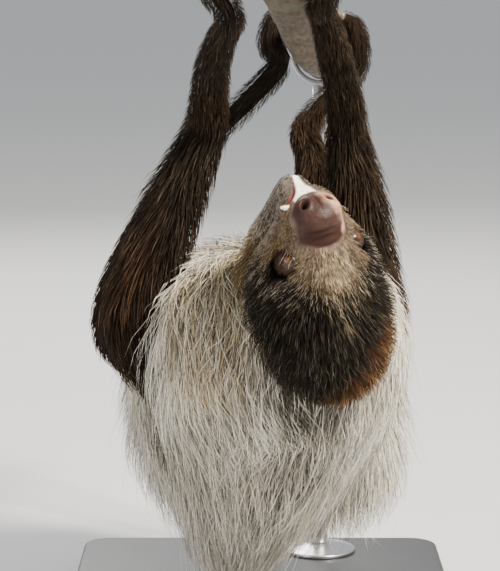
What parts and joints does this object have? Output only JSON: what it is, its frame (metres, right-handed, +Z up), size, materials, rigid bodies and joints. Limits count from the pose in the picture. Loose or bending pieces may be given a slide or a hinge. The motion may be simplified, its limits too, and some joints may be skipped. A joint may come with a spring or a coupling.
{
  "type": "two-toed sloth",
  "caption": "Life-size two-toed sloth hanging belly-up by hooked claws under a cut branch, head turned to look ahead, on a flat base with a steel rod.",
  "frame": {"origin": "centre of the base plate's underside", "axes": "+Z up; -Y the way the animal's face looks, and its rump points to +Y; -X its own left side"},
  "size_m": [0.34, 0.7116, 0.6158],
  "materials": {
    "dark_coat": "matt",
    "pale_coat": "matt",
    "head_coat": "matt",
    "nose_skin": "moist satin",
    "eye": "wet gloss",
    "tooth": "satin",
    "claw": "satin",
    "bark": "matt",
    "stand_paint": "satin",
    "rod_steel": "satin"
  },
  "bodies": {
    "root": {"upper_arm_left": "dark_coat", "forearm_left": "dark_coat", "hand_left": "dark_coat", "upper_arm_right": "dark_coat", "forearm_right": "dark_coat", "hand_right": "dark_coat", "thigh_left": "dark_coat", "shin_left": "dark_coat", "foot_left": "dark_coat", "thigh_right": "dark_coat", "shin_right": "dark_coat", "foot_right": "dark_coat", "trunk": "pale_coat", "neck": "pale_coat", "head": "head_coat", "jaw": "head_coat", "ear_left": "head_coat", "ear_right": "head_coat", "nose": "nose_skin", "eye_left": "eye", "eye_right": "eye", "tooth_left": "tooth", "claw_hand_left_1": "claw", "claw_hand_left_2": "claw", "claw_hand_right_1": "claw", "claw_hand_right_2": "claw", "claw_foot_left_1": "claw", "claw_foot_left_2": "claw", "claw_foot_left_3": "claw", "claw_foot_right_1": "claw", "claw_foot_right_2": "claw", "claw_foot_right_3": "claw", "perch": "bark", "stand_base": "stand_paint", "stand_flange": "rod_steel", "stand_rod": "rod_steel", "stand_collar": "rod_steel"}
  },
  "joints": []
}
